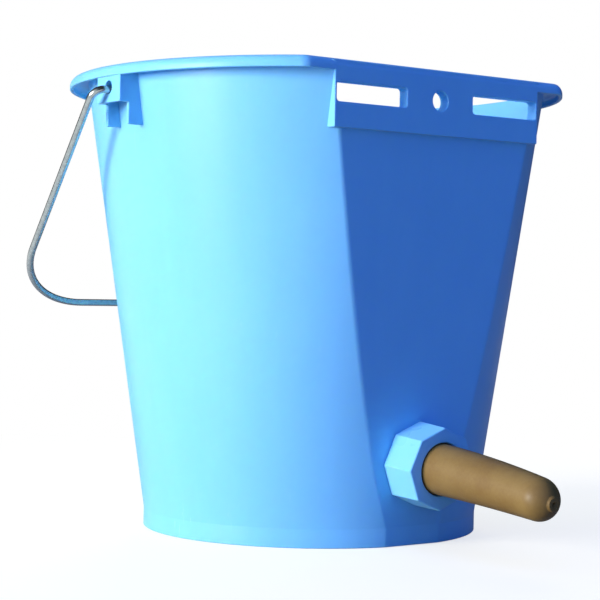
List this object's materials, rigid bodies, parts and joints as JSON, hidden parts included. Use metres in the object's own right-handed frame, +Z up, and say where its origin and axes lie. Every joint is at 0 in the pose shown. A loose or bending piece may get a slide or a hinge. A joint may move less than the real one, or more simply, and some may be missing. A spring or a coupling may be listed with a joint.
{
  "type": "calf feeding bucket",
  "caption": "Round tapered bucket with a flat front, a rubber teat on a valve and nut, a slotted hanging band and a swinging wire bail.",
  "frame": {"origin": "on the plane the bucket stands on, under the middle of the whole object's box", "axes": "+Z up, -Y out of the flat front with the teat, +X to the right when looking along +Y; the round wall's axis is parallel to Z at y = 0.0294"},
  "size_m": [0.296, 0.3374, 0.25],
  "materials": {
    "bucket_blue": "smooth moulded plastic with a soft gloss",
    "nut_blue": "smooth moulded plastic with a soft gloss",
    "galvanised_wire": "bright galvanised wire",
    "teat_brown": "satin moulded rubber",
    "valve_white": "plain moulded plastic",
    "ball_white": "smooth plastic ball",
    "gasket_black": "plain flat rubber"
  },
  "bodies": {
    "bucket": {"bucket_shell": "bucket_blue", "teat": "teat_brown", "teat_nut": "nut_blue", "valve_body": "valve_white", "flange_gasket": "gasket_black", "ball_retainer": "valve_white"},
    "bail": {"bail_handle": "galvanised_wire"},
    "ball": {"valve_ball": "ball_white"}
  },
  "joints": [
    {"name": "bail_swing", "type": "hinge", "parent": "bucket", "child": "bail", "pos_m": [0, 0.02518, 0.2368], "axis": [1, 0, 0], "range_deg": [0, 277]},
    {"name": "ball_slide", "type": "slide", "parent": "bucket", "child": "ball", "axis": [0, -0.9976, -0.0691], "range_m": [-0.005, 0]}
  ]
}
